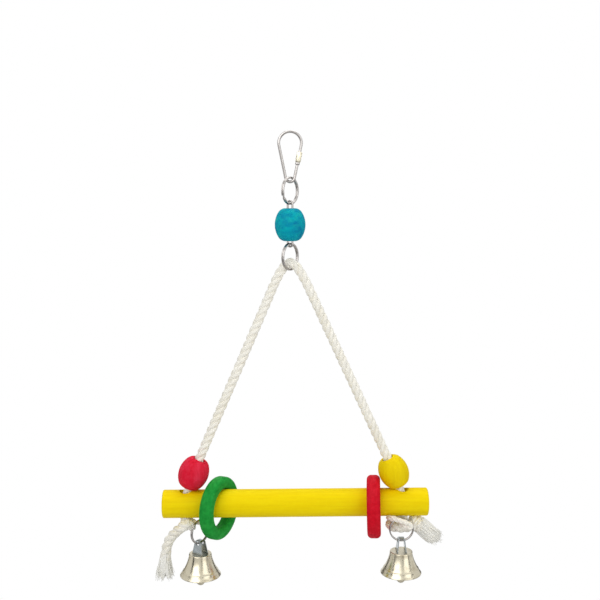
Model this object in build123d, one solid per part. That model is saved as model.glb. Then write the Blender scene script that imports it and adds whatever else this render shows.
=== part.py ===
from build123d import *
import os
from math import acos, atan2, cos, degrees, hypot, pi, radians, sin, sqrt, tan

# A hanging perch swing for small birds: a pear shaped quick link, two split rings and a bead on a long
# wire link carry one rope. The rope runs over the lower ring, down through a bead and a perch hole on
# each side, and is knotted below the perch round a small split ring that carries a bell.
# Millimetres. The origin is the inside of the quick link's top bow, where the swing hangs.
# +X runs along the perch, +Y away from the front, +Z up.

# Shared by several pieces
cut_overrun = 1.0
seat_clearance = 0.25

# Quick link: one bent wire with a gate gap that a sleeve nut closes
link_wire_d = 1.6
link_length = 29.2
link_top_bow_r = 6.3
link_foot_bow_r = 2.5
sleeve_top_run = 3.7
sleeve_length = 5.7
sleeve_across_flats = 3.0
sleeve_chamfer = 0.35
sleeve_bore_clearance = 0.05
gate_gap = 3.0
stop_collar_d = 2.5
stop_collar_length = 1.6

# Split rings of the chain, two turns of wire lying side by side
chain_ring_d = 15.6
chain_ring_wire_d = 1.1
chain_ring_pitch = 0.65
chain_ring_sink = 0.1
chain_ring_yaw = -35.0

# Long wire link that runs through the turquoise bead
bead_link_wire_d = 1.2
bead_link_play = 0.12

# Wooden beads
bead_d = 17.2
bead_height = 18.4
bead_side_r = 13.0
bead_corner_r = 4.7
rope_bead_hole_d = 6.4
link_bead_clearance = 0.4
bead_hole_round = 0.7
bead_ring_gap = 0.9

# Rope: span over the ring, knots and tails
rope_d = 5.4
rope_ring_clearance = 0.6
apex_run = 7.9
apex_fillet_share = 0.45
hole_bend_r = 14.0
hole_bend_height = 5.1
hole_lean = 0.7
rope_tuck = 2.5
left_tuft_length = 11.0
left_tuft_d = 9.6
right_tuft_length = 11.5
right_tuft_d = 11.0

# Perch
perch_d = 16.0
perch_length = 153.0
perch_end_round = 0.9
perch_shift = 3.0
perch_drop = 211.0
perch_hole_d = 7.2
left_hole_inset = 13.0
right_hole_inset = 14.5

# Wooden rings that ride on the perch
toy_ring_d = 36.0
toy_ring_bore_d = 22.3
toy_ring_width = 7.8
toy_ring_round_share = 0.38
toy_ring_hang_clearance = 0.5
green_ring_inset = 19.3
green_ring_yaw = -26.0
red_ring_inset = 16.6
red_ring_yaw = -6.4
red_ring_roll = -1.5

# Knots: a pillow of rope under the perch and a neck that carries the bell's ring
knot_height = 8.6
knot_depth = 8.4
knot_round = 3.6
left_neck_drop = 3.8
right_neck_drop = 2.6
left_knot_width = 12.0
left_knot_shift = 1.9
right_knot_width = 16.6
right_knot_shift = 0.9
neck_d = 4.6
neck_cap_d = 7.8
neck_cap_length = 2.3
neck_cap_round = 1.0
bell_ring_reach = 5.8
bell_ring_side_gap = 0.45
left_neck_shift_x = 3.9
left_neck_shift_y = 0.6
left_bell_yaw = 50.0
right_neck_shift_x = -1.2
right_neck_shift_y = 0.0
right_bell_yaw = 0.0

# Split rings of the bells
bell_ring_d = 14.3
bell_ring_wire_d = 0.9
bell_ring_pitch = 0.6

# Bell shells, drawn from sheet
bell_sheet = 0.6
bell_height = 13.0
bell_crown_d = 13.0
bell_shoulder_r = 0.7
bell_waist_d = 16.6
bell_waist_drop = 6.7
bell_rim_d = 23.6
bell_lip_r = 0.5

# Bell hangers, folded from strip
strip = 0.5
hanger_hole_d = 2.3
hanger_hole_height = 6.2
hanger_crown = 1.9
hanger_top_spread = 3.2
hanger_foot_spread = 5.0
hanger_fold_r = 1.2
hanger_top_width = 4.3
hanger_foot_width = 7.4
hanger_tab_width = 4.4
hanger_tab_length = 1.2
hanger_leg_round_share = 0.9
hanger_bridge_width = 1.6
hanger_bridge_drop = 2.3
slot_clearance = 0.12

# Clappers
clapper_wire_d = 0.8
clapper_eye_bore_d = 2.0
clapper_eye_play = 0.05
clapper_ball_d = 5.0
clapper_below_rim = 6.2

# Heights and radii that follow from the sizes above
link_wire_r = link_wire_d / 2
link_top_centre_z = link_wire_r - link_top_bow_r
link_foot_centre_z = link_wire_d - link_length + link_wire_r + link_foot_bow_r
rope_r = rope_d / 2
perch_r = perch_d / 2
perch_z = -perch_drop
perch_top_z = perch_z + perch_r
perch_foot_z = perch_z - perch_r
left_hole_x = perch_shift - perch_length / 2 + left_hole_inset
right_hole_x = perch_shift + perch_length / 2 - right_hole_inset
green_ring_x = left_hole_x + green_ring_inset
red_ring_x = right_hole_x - red_ring_inset

chain_ring_mean_r = (chain_ring_d - chain_ring_wire_d) / 2
chain_ring_half_width = (chain_ring_pitch + chain_ring_wire_d) / 2
upper_ring_top_z = link_foot_centre_z - chain_ring_sink
upper_ring_z = upper_ring_top_z - chain_ring_mean_r
upper_ring_foot_z = upper_ring_z - chain_ring_mean_r
bead_link_bow_r = chain_ring_half_width + bead_link_play + bead_link_wire_d / 2
link_bead_hole_d = 2 * (bead_link_bow_r + bead_link_wire_d / 2 + link_bead_clearance)
bead_top_z = upper_ring_foot_z - bead_link_bow_r - bead_link_wire_d / 2 - seat_clearance
bead_z = bead_top_z - bead_height / 2
lower_ring_top_z = bead_top_z - bead_height - bead_ring_gap - chain_ring_wire_d / 2
lower_ring_z = lower_ring_top_z - chain_ring_mean_r
lower_ring_foot_z = lower_ring_z - chain_ring_mean_r
apex_z = lower_ring_foot_z + chain_ring_wire_d / 2 + rope_ring_clearance + rope_r

neck_r = neck_d / 2
left_neck_z = perch_foot_z - left_neck_drop
right_neck_z = perch_foot_z - right_neck_drop
bell_ring_mean_r = (bell_ring_d - bell_ring_wire_d) / 2
bell_ring_half_width = (bell_ring_pitch + bell_ring_wire_d) / 2
bell_ring_drop = bell_ring_mean_r - bell_ring_wire_d / 2 - seat_clearance - neck_r
hanger_hole_drop = bell_ring_drop + bell_ring_mean_r
crown_drop = hanger_hole_drop + hanger_hole_height
clapper_eye_bore_r = clapper_eye_bore_d / 2
clapper_eye_mean_r = clapper_eye_bore_r + clapper_wire_d / 2
bridge_top_drop = hanger_bridge_drop - strip / 2
eye_over_bridge = sqrt(clapper_eye_bore_r**2 - (hanger_bridge_width / 2)**2)
clapper_eye_drop = bridge_top_drop + clapper_eye_play + eye_over_bridge
clapper_ball_drop = bell_height + clapper_below_rim - clapper_ball_d / 2


def split_ring(outer_d, wire_d, pitch):
    """Two turns of wire side by side, with the ring's axis along X."""
    turn = Torus((outer_d - wire_d) / 2, wire_d / 2)
    pair = Pos(0, 0, pitch / 2) * turn + Pos(0, 0, -pitch / 2) * turn
    return Rot(0, 90, 0) * pair


def wire_along(path, wire_d):
    """Sweep round wire along a path."""
    start = Plane(origin=path @ 0, z_dir=path % 0)
    return sweep(start * Circle(wire_d / 2), path=path)


# Quick link. Both arms are tangent to the two bows, so the arm's slope follows from the bows.
arm_angle = degrees(acos((link_top_bow_r - link_foot_bow_r) / (link_top_centre_z - link_foot_centre_z)))
arm_out_x = sin(radians(arm_angle))
arm_out_z = -cos(radians(arm_angle))
arm_top = Vector(link_top_bow_r * arm_out_x, 0, link_top_centre_z + link_top_bow_r * arm_out_z)
arm_foot = Vector(link_foot_bow_r * arm_out_x, 0, link_foot_centre_z + link_foot_bow_r * arm_out_z)
arm_down = (arm_foot - arm_top).normalized()
sleeve_foot = arm_top + arm_down * (sleeve_top_run + sleeve_length)
gate_top = sleeve_foot - arm_down * gate_gap


def mirrored(point):
    return Vector(-point.X, point.Y, point.Z)


def make_link_wire():
    top_bow_mid = Vector(0, 0, link_top_centre_z + link_top_bow_r)
    foot_bow_mid = Vector(0, 0, link_foot_centre_z - link_foot_bow_r)
    path = Line(gate_top, arm_top)
    path += ThreePointArc(arm_top, top_bow_mid, mirrored(arm_top))
    path += Line(mirrored(arm_top), mirrored(arm_foot))
    path += ThreePointArc(mirrored(arm_foot), foot_bow_mid, arm_foot)
    path += Line(arm_foot, sleeve_foot)
    wire = wire_along(Wire(path.edges()), link_wire_d)
    collar_plane = Plane(origin=sleeve_foot, z_dir=arm_down)
    collar = extrude(collar_plane * Circle(stop_collar_d / 2), stop_collar_length)
    return wire + collar


def make_sleeve_nut():
    """Six sided sleeve on the gate arm, seated on the stop collar."""
    corner_r = sleeve_across_flats / sqrt(3)
    body = extrude(RegularPolygon(corner_r, 6), sleeve_length)
    blank = extrude(Circle(corner_r), sleeve_length)
    body &= chamfer(blank.edges(), sleeve_chamfer)
    bore_r = link_wire_r + sleeve_bore_clearance
    body -= Pos(0, 0, -cut_overrun) * extrude(Circle(bore_r), sleeve_length + 2 * cut_overrun)
    return Plane(origin=sleeve_foot, z_dir=-arm_down) * body


def make_chain_ring(centre_z):
    ring = split_ring(chain_ring_d, chain_ring_wire_d, chain_ring_pitch)
    return Pos(0, 0, centre_z) * Rot(0, 0, chain_ring_yaw) * ring


def make_bead_link():
    """Long closed loop of wire, square to both rings, with its bows round their wires."""
    top = upper_ring_foot_z
    foot = lower_ring_top_z
    right_top = Vector(bead_link_bow_r, 0, top)
    right_foot = Vector(bead_link_bow_r, 0, foot)
    path = Line(right_foot, right_top)
    path += ThreePointArc(right_top, Vector(0, 0, top + bead_link_bow_r), mirrored(right_top))
    path += Line(mirrored(right_top), mirrored(right_foot))
    path += ThreePointArc(mirrored(right_foot), Vector(0, 0, foot - bead_link_bow_r), right_foot)
    loop = wire_along(Wire(path.edges()), bead_link_wire_d)
    return Rot(0, 0, chain_ring_yaw) * loop


# A bead's outline has a gentle side arc and a smaller corner arc that meets it smoothly.
bead_side_x = bead_d / 2 - bead_side_r
bead_corner_z = bead_height / 2 - bead_corner_r
bead_corner_x = bead_side_x + sqrt((bead_side_r - bead_corner_r)**2 - bead_corner_z**2)


def make_bead(hole_d):
    """Round cornered bead about Z with a through hole."""
    half = bead_height / 2
    corner_x = bead_corner_x
    corner_z = bead_corner_z
    lean = atan2(corner_z, corner_x - bead_side_x)
    join = (corner_x + bead_corner_r * cos(lean), corner_z + bead_corner_r * sin(lean))
    steep = (lean + pi / 2) / 2
    corner_mid = (corner_x + bead_corner_r * cos(steep), corner_z + bead_corner_r * sin(steep))
    outline = Line((0, -half), (0, half))
    outline += Line((0, half), (corner_x, half))
    outline += ThreePointArc((corner_x, half), corner_mid, join)
    outline += ThreePointArc(join, (bead_d / 2, 0), (join[0], -join[1]))
    outline += ThreePointArc((join[0], -join[1]), (corner_mid[0], -corner_mid[1]), (corner_x, -half))
    outline += Line((corner_x, -half), (0, -half))
    half_section = make_face(outline) - Rectangle(hole_d, bead_height + cut_overrun)
    mouths = half_section.vertices().group_by(Axis.X)[0]
    half_section = fillet(mouths, bead_hole_round)
    return revolve(Plane.XZ * half_section, Axis.Z)


# Rope. The span is one tube: up out of the left knot, over the lower ring and down into the right knot.
span_foot_z = perch_foot_z - rope_tuck
bend_z = perch_z + hole_bend_height
left_bend = Vector(left_hole_x - hole_lean, 0, bend_z)
right_bend = Vector(right_hole_x + hole_lean, 0, bend_z)
left_apex = Vector(-apex_run / 2, 0, apex_z)
right_apex = Vector(apex_run / 2, 0, apex_z)
span_route = [
    Vector(left_bend.X, 0, span_foot_z), left_bend, left_apex,
    right_apex, right_bend, Vector(right_bend.X, 0, span_foot_z),
]

# Tails: hand laid points from the foot of each perch hole, outwards and down to where the rope frays
left_tail_points = [
    (0.9, 0.6, -4.0), (-2.9, 1.7, -8.3), (-7.7, 3.4, -12.6), (-11.2, 5.3, -18.4), (-12.9, 6.8, -25.6),
]
right_tail_points = [(1.0, 0.8, -3.8), (6.8, 2.1, -5.9), (12.1, 4.0, -9.4)]
left_tail_route = [Vector(left_hole_x, 0, perch_foot_z) + Vector(*point) for point in left_tail_points]
right_tail_route = [Vector(right_hole_x, 0, perch_foot_z) + Vector(*point) for point in right_tail_points]


def fillet_radius(before, corner, after):
    """The largest tidy radius at a corner: a share of the shorter run over the half turn's tangent."""
    run_in = corner - before
    run_out = after - corner
    turn = radians(run_in.get_angle(run_out))
    return apex_fillet_share * min(run_in.length, run_out.length) / tan(turn / 2)


def rope_tube(name, route, radii):
    """Round tube on straight runs and tangent arcs, with its radii and volume printed."""
    path = FilletPolyline(*route, radius=radii)
    tube = wire_along(Wire(path.edges()), rope_d)
    ideal = pi * rope_r**2 * path.length
    print(name, "radii", [round(r, 2) for r in radii], "length", round(path.length, 1),
          "volume over section times length", round(tube.volume / ideal, 5))
    return tube


def make_span():
    apex_radii = [
        fillet_radius(left_bend, left_apex, right_apex),
        fillet_radius(left_apex, right_apex, right_bend),
    ]
    return rope_tube("rope_span", span_route, [hole_bend_r, *apex_radii, hole_bend_r])


def make_tail(name, route, tuft_length, tuft_d):
    """A rope tail with its frayed, flaring end."""
    radii = [fillet_radius(*route[i - 1:i + 2]) for i in range(1, len(route) - 1)]
    tube = rope_tube(name, route, radii)
    aim = (route[-1] - route[-2]).normalized()
    near = Plane(origin=route[-1], z_dir=aim)
    far = Plane(origin=route[-1] + aim * tuft_length, z_dir=aim)
    tuft = loft([near * Circle(rope_r), far * Circle(tuft_d / 2)])
    return tube + tuft


# Perch and what rides on it
def make_perch():
    bar = Rot(0, 90, 0) * Cylinder(perch_r, perch_length)
    bar = fillet(bar.edges().filter_by(GeomType.CIRCLE), perch_end_round)
    bar = Pos(perch_shift, 0, perch_z) * bar
    for hole_x in (left_hole_x, right_hole_x):
        bar -= Pos(hole_x, 0, perch_z) * Cylinder(perch_hole_d / 2, perch_d + 2 * cut_overrun)
    return bar


def make_toy_ring(x, yaw, roll):
    """Turned wooden ring that hangs on the perch by the top of its bore."""
    bore_r = toy_ring_bore_d / 2
    wall = toy_ring_d / 2 - bore_r
    edge_r = toy_ring_round_share * min(wall, toy_ring_width)
    section = Pos(bore_r + wall / 2, 0) * RectangleRounded(wall, toy_ring_width, edge_r)
    ring = Rot(0, 90, 0) * revolve(Plane.XZ * section, Axis.Z)
    hang_z = perch_top_z + toy_ring_hang_clearance - bore_r
    return Pos(x, 0, hang_z) * Rot(0, roll, yaw) * ring


def make_rope_bead(bend, apex):
    """A bead threaded on one leg of the rope, resting on the perch."""
    up = (apex - bend).normalized()
    tilt = acos(up.Z)
    lowest = bead_corner_x * sin(tilt) + bead_corner_z * cos(tilt) + bead_corner_r
    climb = (perch_top_z + seat_clearance + lowest - bend.Z) / up.Z
    return Plane(origin=bend + up * climb, z_dir=up) * make_bead(rope_bead_hole_d)


# Knots and bells. A bell's own frame has its origin on the knot's neck, with the ring's plane at
# -bell_ring_reach along Y, so the pieces of both bells are built alike and turned into place.
left_neck = Pos(left_hole_x + left_neck_shift_x, left_neck_shift_y, left_neck_z)
right_neck = Pos(right_hole_x + right_neck_shift_x, right_neck_shift_y, right_neck_z)
left_frame = left_neck * Rot(0, 0, left_bell_yaw)
right_frame = right_neck * Rot(0, 0, right_bell_yaw)


def make_knot(frame, hole_x, width, shift):
    """A rounded pillow of rope below the perch hole, with a capped neck that the bell's ring hangs on."""
    pillow = Box(width, knot_depth, knot_height)
    pillow = fillet(pillow.edges(), knot_round)
    pillow_z = perch_foot_z - seat_clearance - knot_height / 2
    pillow = Pos(hole_x + shift, 0, pillow_z) * pillow
    cap_start = bell_ring_reach + bell_ring_half_width + bell_ring_side_gap
    toward_ring = Plane(origin=(0, 0, 0), z_dir=(0, -1, 0))
    neck = extrude(toward_ring * Circle(neck_r), cap_start + neck_cap_length / 2)
    cap = extrude(toward_ring * Circle(neck_cap_d / 2), neck_cap_length)
    cap = Pos(0, -cap_start, 0) * fillet(cap.edges(), neck_cap_round)
    return pillow + frame * (neck + cap)


def make_bell_ring(frame):
    ring = Rot(0, 0, 90) * split_ring(bell_ring_d, bell_ring_wire_d, bell_ring_pitch)
    return frame * Pos(0, -bell_ring_reach, -bell_ring_drop) * ring


def three_point_centre(a, b, c):
    """Centre of the circle through three points of a plane outline."""
    d = 2 * (a[0] * (b[1] - c[1]) + b[0] * (c[1] - a[1]) + c[0] * (a[1] - b[1]))
    a2, b2, c2 = (p[0]**2 + p[1]**2 for p in (a, b, c))
    x = (a2 * (b[1] - c[1]) + b2 * (c[1] - a[1]) + c2 * (a[1] - b[1])) / d
    y = (a2 * (c[0] - b[0]) + b2 * (a[0] - c[0]) + c2 * (b[0] - a[0])) / d
    return x, y


def pushed_from(centre, point, distance):
    """A point moved straight away from a centre by a distance."""
    reach = hypot(point[0] - centre[0], point[1] - centre[1])
    grow = (reach + distance) / reach
    return (centre[0] + (point[0] - centre[0]) * grow, centre[1] + (point[1] - centre[1]) * grow)


def make_bell_shell():
    """Sheet bell about Z, crown at zero: flat crown with two slots, flared wall, rolled lip."""
    crown_r = bell_crown_d / 2
    wall_top = (crown_r, -bell_shoulder_r)
    waist = (bell_waist_d / 2, -bell_waist_drop)
    wall_foot = (bell_rim_d / 2 - bell_lip_r, bell_lip_r - bell_height)
    flare_centre = three_point_centre(wall_top, waist, wall_foot)
    inner_top = pushed_from(flare_centre, wall_top, bell_sheet)
    inner_waist = pushed_from(flare_centre, waist, bell_sheet)
    inner_foot = pushed_from(flare_centre, wall_foot, bell_sheet)
    shoulder_x = crown_r - bell_shoulder_r
    shoulder_turn = bell_shoulder_r * sin(pi / 4)
    shoulder_mid = (shoulder_x + shoulder_turn, shoulder_turn - bell_shoulder_r)
    outline = Line((0, 0), (shoulder_x, 0))
    outline += ThreePointArc((shoulder_x, 0), shoulder_mid, wall_top)
    outline += ThreePointArc(wall_top, waist, wall_foot)
    outline += Line(wall_foot, inner_foot)
    outline += ThreePointArc(inner_foot, inner_waist, inner_top)
    outline += Line(inner_top, (inner_top[0], -bell_sheet))
    outline += Line((inner_top[0], -bell_sheet), (0, -bell_sheet))
    outline += Line((0, -bell_sheet), (0, 0))
    shell = revolve(Plane.XZ * make_face(outline), Axis.Z)
    lip_x = bell_rim_d / 2 - bell_lip_r
    shell += Pos(0, 0, bell_lip_r - bell_height) * Torus(lip_x, bell_lip_r)
    slot_depth = 2 * (bell_sheet + cut_overrun)
    slot = Box(strip + 2 * slot_clearance, hanger_tab_width + 2 * slot_clearance, slot_depth)
    for side in (-1, 1):
        shell -= Pos(side * hanger_foot_spread / 2, 0, 0) * slot
    return shell


def make_hanger():
    """Folded strip loop: two sloping legs with a hole each, tabs through the crown, a bridge inside."""
    crown_z = hanger_hole_height + hanger_crown - strip / 2
    top_x = hanger_top_spread / 2
    foot_x = hanger_foot_spread / 2
    bridge_z = -hanger_bridge_drop
    loop = make_face(Polyline(
        (-top_x, crown_z), (top_x, crown_z), (foot_x, 0), (foot_x, bridge_z),
        (-foot_x, bridge_z), (-foot_x, 0), close=True))
    fold_corners = loop.vertices().group_by(Axis.Y)[-1]
    loop = fillet(fold_corners, hanger_fold_r)
    band = offset(loop, strip / 2) - offset(loop, -strip / 2)
    side_view = extrude(Plane.XZ * band, hanger_foot_width, both=True)

    top_z = crown_z + strip / 2
    top_y = hanger_top_width / 2
    foot_y = hanger_foot_width / 2
    leg = make_face(Polyline((-foot_y, 0), (foot_y, 0), (top_y, top_z), (-top_y, top_z), close=True))
    leg = fillet(leg.vertices().group_by(Axis.Y)[-1], top_y * hanger_leg_round_share)
    tab_foot = -bell_sheet - hanger_tab_length
    tab = Pos(0, tab_foot / 2) * Rectangle(hanger_tab_width, -tab_foot)
    bridge_foot = bridge_z - strip
    bridge = Pos(0, bridge_foot / 2) * Rectangle(hanger_bridge_width, -bridge_foot)
    front_view = extrude(Plane.YZ * (leg + tab + bridge), hanger_foot_spread, both=True)

    hole = Rot(0, 90, 0) * Cylinder(hanger_hole_d / 2, 2 * hanger_foot_spread)
    return (side_view & front_view) - Pos(0, 0, hanger_hole_height) * hole


def make_clapper_wire():
    """An eye round the hanger's bridge and a straight stem into the ball."""
    eye = Rot(0, 90, 0) * Torus(clapper_eye_mean_r, clapper_wire_d / 2)
    stem_top = clapper_eye_drop + clapper_eye_mean_r
    stem = extrude(Circle(clapper_wire_d / 2), stem_top - clapper_ball_drop)
    return Pos(0, 0, -clapper_eye_drop) * eye + Pos(0, 0, -stem_top) * stem


def make_clapper_ball(stem):
    return Pos(0, 0, -clapper_ball_drop) * Sphere(clapper_ball_d / 2) - stem


left_knot = make_knot(left_frame, left_hole_x, left_knot_width, left_knot_shift)
right_knot = make_knot(right_frame, right_hole_x, right_knot_width, right_knot_shift)
nodes = {
    "link_wire": make_link_wire(),
    "sleeve_nut": make_sleeve_nut(),
    "upper_split_ring": make_chain_ring(upper_ring_z),
    "bead_link": make_bead_link(),
    "turquoise_bead": Pos(0, 0, bead_z) * make_bead(link_bead_hole_d),
    "lower_split_ring": make_chain_ring(lower_ring_z),
    "rope_span": make_span() - left_knot - right_knot,
    "left_knot": left_knot,
    "right_knot": right_knot,
    "left_tail": make_tail("left_tail", left_tail_route, left_tuft_length, left_tuft_d) - left_knot,
    "right_tail": make_tail("right_tail", right_tail_route, right_tuft_length, right_tuft_d) - right_knot,
    "perch": make_perch(),
    "red_bead": make_rope_bead(left_bend, left_apex),
    "yellow_bead": make_rope_bead(right_bend, right_apex),
    "green_ring": make_toy_ring(green_ring_x, green_ring_yaw, 0),
    "red_ring": make_toy_ring(red_ring_x, red_ring_yaw, red_ring_roll),
}
for side, frame in (("left", left_frame), ("right", right_frame)):
    hung = frame * Pos(0, -bell_ring_reach, -crown_drop)
    clapper_wire = make_clapper_wire()
    nodes[side + "_bell_ring"] = make_bell_ring(frame)
    nodes[side + "_bell_shell"] = hung * make_bell_shell()
    nodes[side + "_bell_hanger"] = hung * make_hanger()
    nodes[side + "_clapper_wire"] = hung * clapper_wire
    nodes[side + "_clapper_ball"] = hung * make_clapper_ball(clapper_wire)

os.makedirs("parts", exist_ok=True)
for name, shape in nodes.items():
    export_step(shape, f"parts/{name}.step")
    print(name, "volume", round(shape.volume, 2))
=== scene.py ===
# %% [markdown]
# # A hanging perch swing for small birds
# The swing is a yellow wooden bar on a triangle of twisted cotton rope. It hangs from a pear shaped quick
# link by two split rings and a beaded wire link, and carries wooden rings, beads and two small bells.
# The solids come in as a fixed frame. This lesson dresses them piece by piece.

# %% Load the fixed frame
import random
from math import acos, atan2, cos, pi, radians, sin, sqrt, tau

import bpy
import numpy as np
from mathutils import Matrix, Vector


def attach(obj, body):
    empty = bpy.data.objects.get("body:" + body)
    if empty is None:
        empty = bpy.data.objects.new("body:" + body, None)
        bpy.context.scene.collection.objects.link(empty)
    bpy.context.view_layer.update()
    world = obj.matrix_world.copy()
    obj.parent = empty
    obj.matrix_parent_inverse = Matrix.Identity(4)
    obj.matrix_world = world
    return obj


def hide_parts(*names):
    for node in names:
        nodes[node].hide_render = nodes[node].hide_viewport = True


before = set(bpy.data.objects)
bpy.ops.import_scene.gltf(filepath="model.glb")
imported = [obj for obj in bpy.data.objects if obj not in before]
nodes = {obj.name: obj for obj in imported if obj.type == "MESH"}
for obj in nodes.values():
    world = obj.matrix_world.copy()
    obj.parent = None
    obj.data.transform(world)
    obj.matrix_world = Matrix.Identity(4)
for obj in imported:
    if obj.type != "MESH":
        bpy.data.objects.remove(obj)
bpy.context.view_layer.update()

mm = 0.001

# %% [markdown]
# ## Camera
# The picture was taken close up, from about the height of the upper bead, so the bells show their crowns
# while the quick link is seen nearly level. A long lens from far away would flatten that. A short distance
# with a wide lens gives the same change of angle from top to bottom. The place, the tilt and the lens were
# fitted to a dozen points measured on the picture.

# %% Camera
eye = Vector((-8.1, -500, -37)) * mm
tilt_down = 6.38
pan_right = 1.56
field_of_view = 37.19

camera_data = bpy.data.cameras.new("picture_camera")
camera_data.sensor_fit = "HORIZONTAL"
camera_data.angle = radians(field_of_view)
camera_data.clip_start = 0.01
camera_data.clip_end = 20
camera = bpy.data.objects.new("picture_camera", camera_data)
camera.location = eye
camera.rotation_euler = (radians(90 - tilt_down), 0, radians(-pan_right))
bpy.context.scene.collection.objects.link(camera)
bpy.context.scene.camera = camera
print("camera", [round(v, 3) for v in eye], "lens angle", field_of_view)

# %% [markdown]
# ## Light and background
# The object hangs in front of plain white. A white world gives that to the camera and to what metal
# mirrors. For the light that falls on the object it stays soft grey, so colours come out as they are
# written. Bright metal only looks like metal when it has something dark to mirror, so a few dark cards
# stand outside the picture. They are hidden from the camera and throw no shadow.

# %% World
scene = bpy.context.scene
scene.view_settings.view_transform = "Standard"


def shader(tree, kind, **values):
    """Add a node and set its plain input values by name."""
    made = tree.nodes.new(kind)
    for key, value in values.items():
        made.inputs[key.replace("_", " ")].default_value = value
    return made


soft_strength = 0.33

world = bpy.data.worlds.new("white_studio")
scene.world = world
world.use_nodes = True
sky = world.node_tree
sky.nodes.clear()
rays = sky.nodes.new("ShaderNodeLightPath")
seen = sky.nodes.new("ShaderNodeMath")
seen.operation = "MAXIMUM"
through = sky.nodes.new("ShaderNodeMath")
through.operation = "MAXIMUM"
sky.links.new(rays.outputs["Is Camera Ray"], seen.inputs[0])
sky.links.new(rays.outputs["Is Transmission Ray"], seen.inputs[1])
sky.links.new(seen.outputs[0], through.inputs[0])
sky.links.new(rays.outputs["Is Glossy Ray"], through.inputs[1])
soft_light = shader(sky, "ShaderNodeBackground", Color=(1, 1, 1, 1), Strength=soft_strength)
white = shader(sky, "ShaderNodeBackground", Color=(1, 1, 1, 1), Strength=1.0)
either = sky.nodes.new("ShaderNodeMixShader")
sky_out = sky.nodes.new("ShaderNodeOutputWorld")
sky.links.new(through.outputs[0], either.inputs[0])
sky.links.new(soft_light.outputs[0], either.inputs[1])
sky.links.new(white.outputs[0], either.inputs[2])
sky.links.new(either.outputs[0], sky_out.inputs[0])
print("world", world.name, "with soft light", soft_strength)

# %% Lamps


def soft_lamp(name, place, aim, size, power):
    """A square area lamp that looks at a point of the object."""
    data = bpy.data.lights.new(name, "AREA")
    data.size = size
    data.energy = power
    lamp = bpy.data.objects.new(name, data)
    lamp.location = place
    lamp.rotation_euler = (Vector(aim) - Vector(place)).to_track_quat("-Z", "Y").to_euler()
    scene.collection.objects.link(lamp)


middle = (0, 0, -0.14)
soft_lamp("key_lamp", (-0.55, -0.75, 0.42), middle, 0.95, 5.9)
soft_lamp("fill_lamp", (0.8, -0.7, 0.1), middle, 1.1, 4.3)
soft_lamp("top_lamp", (0.1, 0.25, 0.75), middle, 0.8, 4.0)

# %% Floor and dark cards


def flat_panel(name, corners):
    """A four cornered sheet that belongs to the studio."""
    mesh = bpy.data.meshes.new(name)
    mesh.from_pydata(corners, [], [(0, 1, 2, 3)])
    panel = bpy.data.objects.new(name, mesh)
    scene.collection.objects.link(panel)
    return panel


floor_z, floor_side, floor_near, floor_far = -0.75, 2, -2, 1
floor_white = 0.9
floor = flat_panel("studio_floor", [
    (-floor_side, floor_near, floor_z), (floor_side, floor_near, floor_z),
    (floor_side, floor_far, floor_z), (-floor_side, floor_far, floor_z)])
pale = bpy.data.materials.new("pale_floor")
pale.use_nodes = True
tree = pale.node_tree
tree.nodes.clear()
floor_rays = tree.nodes.new("ShaderNodeLightPath")
seen_share = tree.nodes.new("ShaderNodeMath")
seen_share.operation = "MULTIPLY"
seen_share.inputs[1].default_value = floor_white
matt = shader(tree, "ShaderNodeBsdfDiffuse", Color=(0.9, 0.9, 0.9, 1))
glow = shader(tree, "ShaderNodeEmission", Color=(1, 1, 1, 1), Strength=1.0)
blend = tree.nodes.new("ShaderNodeMixShader")
floor_out = tree.nodes.new("ShaderNodeOutputMaterial")
tree.links.new(floor_rays.outputs["Is Camera Ray"], seen_share.inputs[0])
tree.links.new(seen_share.outputs[0], blend.inputs[0])
tree.links.new(matt.outputs[0], blend.inputs[1])
tree.links.new(glow.outputs[0], blend.inputs[2])
tree.links.new(blend.outputs[0], floor_out.inputs[0])
floor.data.materials.append(pale)

card_black = bpy.data.materials.new("card_black")
card_black.use_nodes = True
card_shader = card_black.node_tree.nodes["Principled BSDF"]
card_shader.inputs["Base Color"].default_value = (0.02, 0.02, 0.022, 1)
card_shader.inputs["Roughness"].default_value = 0.9
card_distance = 0.85
for name, turn, width, low, high in (
    ("card_left", 205, 0.22, -0.5, 0.35), ("card_right", 338, 0.18, -0.5, 0.35),
    ("card_back_left", 128, 0.3, -0.5, 0.3), ("card_back_right", 55, 0.26, -0.5, 0.3),
    ("card_front", 286, 0.1, -0.5, 0.2),
):
    out = Vector((cos(radians(turn)), sin(radians(turn)), 0))
    side = Vector((-out.y, out.x, 0)) * (width / 2)
    base = out * card_distance
    card = flat_panel(name, [
        (base - side) + Vector((0, 0, low)), (base + side) + Vector((0, 0, low)),
        (base + side) + Vector((0, 0, high)), (base - side) + Vector((0, 0, high))])
    card.data.materials.append(card_black)
    card.visible_camera = False
    card.visible_diffuse = False
    card.visible_shadow = False

# %% [markdown]
# ## Mesh tools
# Most pieces here are bent wire, twisted strand or turned work. Two small tools make nearly all of them: one
# sweeps a section along a line of points, and one spins an outline round an axis. Writing the points
# ourselves keeps wire ends, steps and seams where they are on the real thing, which a stock shape would not
# have. Meshes are written in millimetres, as on a drawing, and turned into metres when a piece is made.

# %% Sweep a section along a line
any_side = (0.31, 0.77, 0.55)


def carried_frames(points, closed=False, first_side=any_side):
    """A side and an up direction at each point, carried along the line without twisting."""
    pts = np.asarray(points, float)
    if closed:
        ahead = np.roll(pts, -1, 0) - np.roll(pts, 1, 0)
    else:
        ahead = np.gradient(pts, axis=0)
    ahead /= np.linalg.norm(ahead, axis=1)[:, None]
    side = np.array(first_side, float)
    sides = []
    for a in ahead:
        side = side - a * (side @ a)
        side /= np.linalg.norm(side)
        sides.append(side)
    sides = np.array(sides)
    return sides, np.cross(ahead, sides)


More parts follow.
